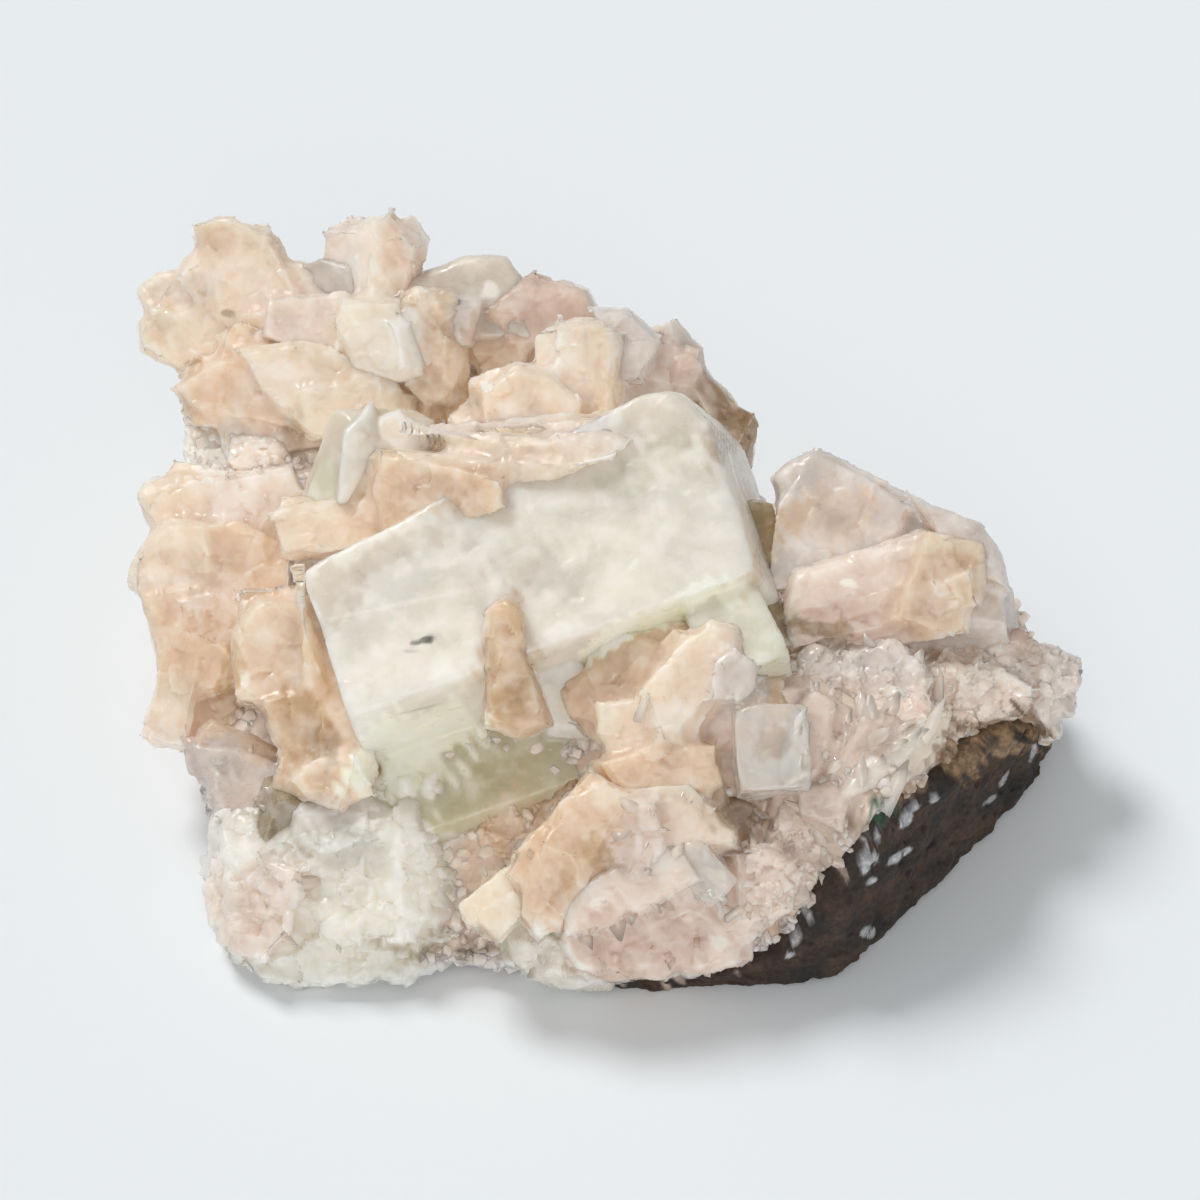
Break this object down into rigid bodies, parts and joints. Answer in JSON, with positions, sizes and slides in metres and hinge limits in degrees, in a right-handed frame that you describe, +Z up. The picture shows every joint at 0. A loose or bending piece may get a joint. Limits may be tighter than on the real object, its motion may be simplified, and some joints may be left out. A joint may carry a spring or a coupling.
{
  "type": "apophyllite and stilbite crystal cluster",
  "caption": "Mineral specimen: milky green apophyllite blocks and peach stilbite sheaves grown on a crust of small pale crystals over dark vesicular basalt.",
  "frame": {"origin": "centre of the bounding box in X and Y, on the plane of the table under the basalt", "axes": "+X along the specimen's width to the picture's right, +Y away from the camera, +Z up"},
  "size_m": [0.1054, 0.0838, 0.0436],
  "materials": {
    "basalt": "matte near-black vesicular basalt with white and grey amygdules and a weathered ochre rim",
    "druse": "sparkling pinkish white crust of small crystals",
    "apophyllite": "milky pale green translucent crystal with a soft vitreous lustre",
    "dark_apophyllite": "translucent dark olive crystal",
    "clear_apophyllite": "clear glassy crystal with faint clouds",
    "smoky_apophyllite": "smoky grey to lilac translucent crystal",
    "lilac_crystal": "grey-lilac translucent crystal with a pearly sheen",
    "stilbite": "pearly peach to ivory, translucent at the edges",
    "pink_stilbite": "pearly pinkish white plates"
  },
  "bodies": {
    "root": {"basalt_matrix": "basalt", "druse_crust": "druse", "apophyllite_block": "apophyllite", "apophyllite_wedge": "dark_apophyllite", "apophyllite_corner": "apophyllite", "grey_crystal": "lilac_crystal", "apophyllite_cube": "clear_apophyllite", "apophyllite_foot": "clear_apophyllite", "apophyllite_back": "smoky_apophyllite", "apophyllite_spike": "apophyllite", "clear_crystal": "clear_apophyllite", "smoky_crystal": "smoky_apophyllite", "olive_crystal": "dark_apophyllite", "stilbite_crown": "stilbite", "stilbite_column": "stilbite", "stilbite_fan": "stilbite", "stilbite_tablet": "stilbite", "stilbite_ridge": "stilbite", "stilbite_rear": "stilbite", "stilbite_shelf": "stilbite", "stilbite_pillar": "stilbite", "stilbite_bowtie": "stilbite", "stilbite_right": "stilbite", "stilbite_sheaf": "stilbite", "stilbite_pointer": "stilbite", "stilbite_foot": "pink_stilbite", "stilbite_front": "stilbite", "heulandite_plates": "pink_stilbite", "clear_plates": "lilac_crystal"}
  },
  "joints": []
}
